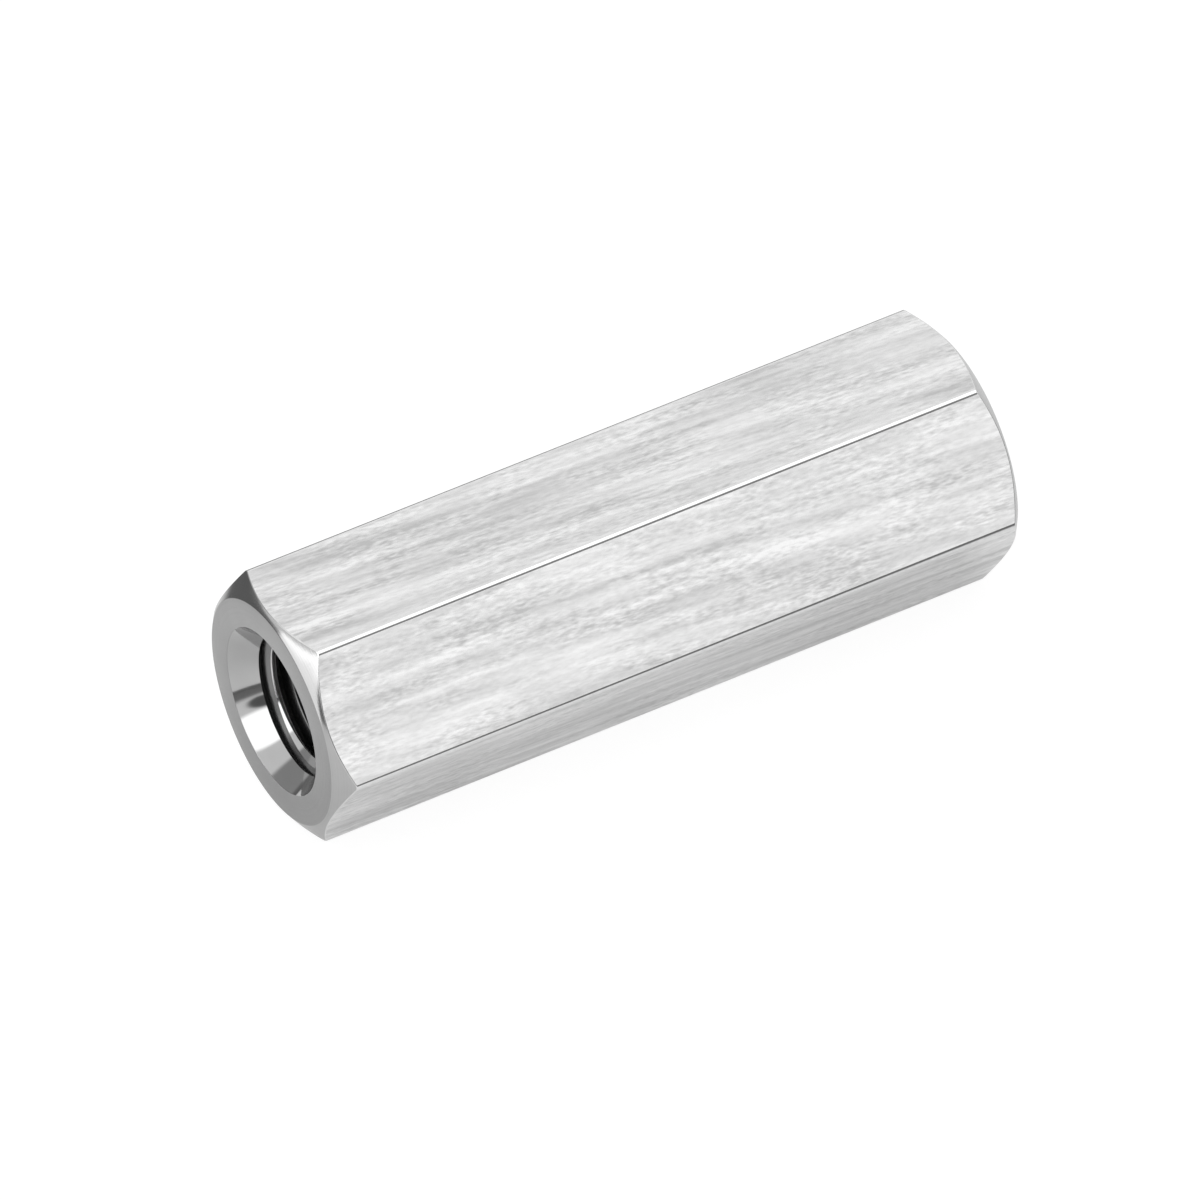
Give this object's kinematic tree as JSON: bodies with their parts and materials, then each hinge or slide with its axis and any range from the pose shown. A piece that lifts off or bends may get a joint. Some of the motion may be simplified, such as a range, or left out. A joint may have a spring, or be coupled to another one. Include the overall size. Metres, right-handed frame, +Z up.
{
  "type": "coupling nut",
  "caption": "Long hexagonal nut with chamfered ends and a countersunk threaded hole from end to end, for joining two threaded rods in line.",
  "frame": {"origin": "centre of the resting flat, under the middle of the nut", "axes": "+X along the thread axis, +Y across the corners, +Z up from the flat that the nut lies on"},
  "size_m": [0.05, 0.0184, 0.016],
  "materials": {
    "bright_steel": "bright drawn steel, faint grain along its length, turned and polished ends"
  },
  "bodies": {
    "root": {"coupling_nut": "bright_steel"}
  },
  "joints": []
}
